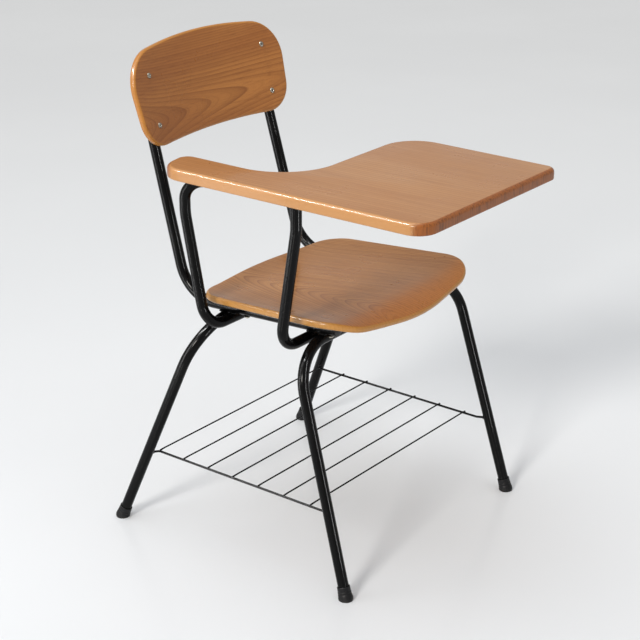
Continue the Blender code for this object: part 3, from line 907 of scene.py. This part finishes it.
def make_tablet(skin_material):
    corners = [(-0.263, -0.343, 0.036), (0.126, -0.343, 0.018), (0.126, -0.038, 0.068),
               (-0.190, -0.038, 0.100), (-0.193, 0.195, 0.022), (-0.272, 0.180, 0.044)]
    profile = edge_profile(TABLET_THICK, TABLET_EDGE_R, TABLET_UNDER_R, 12)
    mesh = panel("tablet_top", outline_points(corners, 16), profile,
                 lambda x, y, d: Vector((x, y, TABLET_TOP_Z - d)), 0)
    piece = add("tablet_top_fine", mesh, "tablet_wood", skin_material, smooth=60)
    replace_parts(piece, "tablet_top")


# --- fasteners ---------------------------------------------------------------------------------

def make_rivet(name, side, v, plate, mandrel):
    """A blind rivet: a domed flange with the broken mandrel deep in its bore. The bore's faces are
    painted near black as painted shade.
    """
    axis, ahead = rivet_axis(side, v)
    front = ahead + GAP
    tail = -(TUBE_R + GAP)
    head = [(0, 0.0006), (0.0013, 0.0007), (0.00135, 0.0017), (0.0016, 0.0021), (0.0022, 0.0021),
            (0.0031, 0.0018), (0.0040, 0.0012), (0.0047, 0.0006), (0.0050, 0.0002), (0.0049, 0.0)]
    profile = [(r, front + h) for r, h in head]
    profile += [(0.0024, front), (0.0024, tail), (0.0040, tail), (0.0041, tail - 0.0008),
                (0.0034, tail - 0.0017), (0.0018, tail - 0.0020), (0, tail - 0.0018)]
    mesh = lathe(name, profile, rivet_place(side, v), axis)
    piece = add(name + "_fine", mesh, "bright_nickel", plate, mandrel)
    # the faces round the bore take the near-black metal: painted shade in the hollow
    bore = rivet_place(side, v) + axis * (front + 0.0006)
    for face in mesh.polygons:
        if (face.center - bore).length < 0.0012:
            face.material_index = 1
    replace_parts(piece, name)


def make_screw(name, plate):
    """A pan-head screw seen from below, with a cross recess in its head."""
    low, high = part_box(name)
    x, y = (low.x + high.x) / 2, (low.y + high.y) / 2
    head_high = 0.0028
    point_long = 0.0020
    plain_long = 0.0012
    shank = 0.0021
    root = shank * 0.84
    pitch = 0.0007
    base = low.z + head_high
    top = high.z
    profile = [(0, top), (shank * 0.6, top), (shank, top - point_long)]
    z = top - point_long - 0.0004
    while z > base + plain_long:
        profile += [(shank, z), (root, z - pitch / 2)]
        z -= pitch
    profile += [(shank * 0.9, base), (0.0044, base), (0.0045, base - 0.0004),
                (0.0044, base - 0.0013), (0.0038, base - 0.0021), (0.0028, base - 0.0026),
                (0.0016, low.z), (0, low.z)]
    mesh = lathe(name, profile, (x, y, 0), Z_AXIS, 28)
    body = bpy.data.objects.new(name + "_body", mesh)
    bpy.context.scene.collection.objects.link(body)
    wings = []
    slim = 0.24
    for long_x, long_y in ((1.0, slim), (slim, 1.0)):
        wing = bpy.data.objects.new(name + "_wing", wing_mesh(name, (x, y, low.z), long_x, long_y))
        bpy.context.scene.collection.objects.link(wing)
        cut = body.modifiers.new("recess", "BOOLEAN")
        cut.operation = "DIFFERENCE"
        cut.solver = "EXACT"
        cut.object = wing
        wings.append(wing)
    bpy.context.view_layer.update()
    depsgraph = bpy.context.evaluated_depsgraph_get()
    carved = bpy.data.meshes.new_from_object(body.evaluated_get(depsgraph))
    for spent in [body] + wings:
        bpy.data.objects.remove(spent)
    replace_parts(add(name + "_fine", carved, "bright_nickel", plate), name)


def wing_mesh(name, place, long_x, long_y):
    """One wing of a cross recess: a wedge, wider below than above."""
    bm = bmesh.new()
    rings = []
    for z, reach in ((-0.0010, 0.0021), (0.0013, 0.0012)):
        corners = [(-1, -1), (1, -1), (1, 1), (-1, 1)]
        rings.append([bm.verts.new(Vector(place) + Vector((cx * long_x * reach,
                                                           cy * long_y * reach, z)))
                      for cx, cy in corners])
    skin(bm, rings)
    bm.faces.new(rings[0][::-1])
    bm.faces.new(rings[1])
    return closed_mesh(name, bm)


def make_washer(name, plate):
    low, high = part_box(name)
    place = ((low.x + high.x) / 2, (low.y + high.y) / 2, low.z)
    profile = [(0.0025, 0.0010), (0.0058, 0.0010), (0.0062, 0.0007), (0.0062, 0.0003),
               (0.0059, 0.0), (0.0026, 0.0), (0.0025, 0.0002)]
    piece = add(name + "_fine", lathe(name, profile, place, Z_AXIS), "bright_nickel", plate)
    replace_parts(piece, name)


# --- stage -------------------------------------------------------------------------------------

def area_light(name, place, target, size, power, lights_matt=True):
    """An area light. With lights_matt off it shows only in what shines, as a highlight."""
    lamp = bpy.data.lights.new(name, "AREA")
    lamp.shape = "RECTANGLE"
    lamp.size, lamp.size_y = size
    lamp.energy = power
    holder = bpy.data.objects.new(name, lamp)
    bpy.context.scene.collection.objects.link(holder)
    holder.location = place
    way = Vector(target) - Vector(place)
    holder.rotation_euler = way.to_track_quat("-Z", "Y").to_euler()
    holder.visible_diffuse = lights_matt
    return holder


def make_floor():
    """A pale, softly shining floor."""
    g = Graph("studio_floor")
    cloud = g.noise(g.place, 1.3, 3.0)
    colour = g.mix(cloud, (0.84, 0.87, 0.91, 1), (0.88, 0.91, 0.95, 1))
    g.set(Base_Color=colour, Roughness=g.ranged(cloud, 0.3, 0.7, 0.16, 0.22))
    bm = bmesh.new()
    bmesh.ops.create_circle(bm, cap_ends=True, segments=96, radius=14.0)
    mesh = bpy.data.meshes.new("floor")
    bm.to_mesh(mesh)
    bm.free()
    mesh.materials.append(g.material)
    floor = bpy.data.objects.new("floor", mesh)
    floor.location = (0, 0, -0.0002)
    bpy.context.scene.collection.objects.link(floor)


def make_studio():
    world = bpy.data.worlds.new("studio")
    world.use_nodes = True
    sky = world.node_tree.nodes["Background"]
    sky.inputs["Color"].default_value = (0.98, 0.97, 0.95, 1)
    sky.inputs["Strength"].default_value = 0.52
    bpy.context.scene.world = world
    lamp = bpy.data.lights.new("key", "SUN")
    lamp.energy = 2.0
    lamp.angle = math.radians(14)
    lamp.color = (1.0, 0.96, 0.90)
    key = bpy.data.objects.new("key", lamp)
    bpy.context.scene.collection.objects.link(key)
    key.rotation_euler = Vector((0.87, 0.10, -0.48)).to_track_quat("-Z", "Y").to_euler()
    area_light("top", (-0.4, 0.2, 3.2), (0.0, 0.0, 0.4), (2.2, 2.2), 30)
    middle = Vector((0.0, 0.0, STRIP_MIDDLE_Z))
    left = middle + Vector((-1.15, 0.75, 0.0))
    front = middle + Vector((-0.25, -1.55, 0.0))
    above_arris = Vector((-0.92, 0.79, 1.86))
    arris = Vector((-0.33, 0.79, 0.69))
    lit = [area_light("side", left, middle, (0.25, STRIP_LONG), 3.0),
           area_light("arris_gloss", above_arris, arris, (1.5, 0.16), 60, False)]
    for name, place, width, power in (("left_gloss", left, 0.12, 90),
                                      ("front_gloss", front, 0.08, 30)):
        strip = area_light(name, place, middle, (width, STRIP_LONG), power, False)
        strip.light_linking.receiver_collection = enamelled
        lit.append(strip)
    for light in lit:
        light.visible_camera = False
    bpy.context.scene.view_settings.view_transform = "Standard"


def make_camera():
    """The main view: from the sitter's right front, looking down."""
    data = bpy.data.cameras.new("camera")
    data.lens = 97.80
    data.sensor_width = 36
    camera = bpy.data.objects.new("camera", data)
    bpy.context.scene.collection.objects.link(camera)
    camera.location = (-2.28439, -1.71060, 1.52753)
    way = Vector((0.733891, 0.567260, -0.373657))
    camera.rotation_euler = way.to_track_quat("-Z", "Y").to_euler()
    bpy.context.scene.camera = camera


# --- build -------------------------------------------------------------------------------------

def make_materials():
    tablet_tones = (srgb(184, 134, 87), srgb(174, 122, 76), srgb(132, 78, 38))
    seat_tones = (srgb(186, 133, 78), srgb(170, 117, 64), srgb(118, 62, 22))
    back_tones = (srgb(184, 121, 60), srgb(166, 104, 50), srgb(112, 58, 21))
    return {
        "frame": enamel("frame_enamel", 0.20),
        "rack": enamel("rack_enamel", 0.26),
        "tip": rubber("tip_rubber"),
        "plug": plastic("plug_plastic"),
        "nickel": nickel("bright_nickel", (0.46, 0.43, 0.37, 1)),
        # near-black metal for the rivets' bores: painted shade in the hollow, darker than the
        # mandrel's own steel
        "mandrel": nickel("mandrel_painted_shade", (0.03, 0.03, 0.03, 1)),
        "seat": wood("seat_wood", "X", "Y", 1.5, (-0.015, 0.040), 0.0, 0.030, 0.20,
                     0.0056, seat_tones, 0.62, 7, (-0.150, -0.085, 2.0)),
        "back": wood("back_wood", "Y", "X", 0.257, (-0.072, 0.0), 0.055, 0.060, 0.048,
                     0.0040, back_tones, 0.46, 7),
        "tablet": wood("tablet_wood", "X", "Y", 4.0, (-0.620, 0.0), 0.0, 0.060, 0.05,
                       0.0085, tablet_tones, 0.32, 0),
    }


def make_chair(finish):
    for word, side in (("left", 1), ("right", -1)):
        make_back_tube(f"{word}_back_tube", side, finish["frame"])
        make_plug(f"{word}_upright_plug", back_point(BACK_TOP_Z, side), back_up(), finish["plug"])
        rail_end = Vector((side * RAIL_X, RAIL_FRONT_Y, rail_z(RAIL_FRONT_Y)))
        make_plug(f"{word}_rail_plug", rail_end, (0, -1, -RAIL_SLOPE), finish["plug"])
        make_tip(f"front_{word}_foot_tip", FRONT_FOOT, FRONT_SPLAY, side, finish["tip"])
        make_tip(f"rear_{word}_foot_tip", REAR_FOOT, REAR_SPLAY, side, finish["tip"])
        make_rack_rail(f"rack_{word}_rail", side, finish["rack"])
        for row, v in zip(("lower", "upper"), RIVET_V):
            make_rivet(f"{row}_{word}_back_rivet", side, v, finish["nickel"], finish["mandrel"])
        for row in ("front", "rear"):
            make_screw(f"{row}_{word}_seat_screw", finish["nickel"])
            make_washer(f"{row}_{word}_seat_washer", finish["nickel"])
    make_leg_frame("front_leg_frame", FRONT_FOOT, FRONT_SPLAY, FRONT_BEND_R, finish["frame"])
    make_leg_frame("rear_leg_frame", REAR_FOOT, REAR_SPLAY, REAR_BEND_R, finish["frame"])
    for row, post, run in (("front", FRONT_POST, FRONT_RUN), ("rear", REAR_POST, REAR_RUN)):
        make_post(f"{row}_tablet_post", post, run, finish["frame"])
        make_plate(f"{row}_tablet_plate", finish["frame"])
        for word in ("near", "far"):
            make_screw(f"{row}_{word}_tablet_screw", finish["nickel"])
    make_welds(finish["frame"])
    for i in range(RACK_WIRES):
        make_rack_wire(f"rack_wire_{i + 1}", RACK_REAR_Y - RACK_PITCH * i, finish["rack"])
    make_seat(finish["seat"])
    make_back(finish["back"])
    make_tablet(finish["tablet"])


make_chair(make_materials())
make_floor()
make_studio()
make_camera()
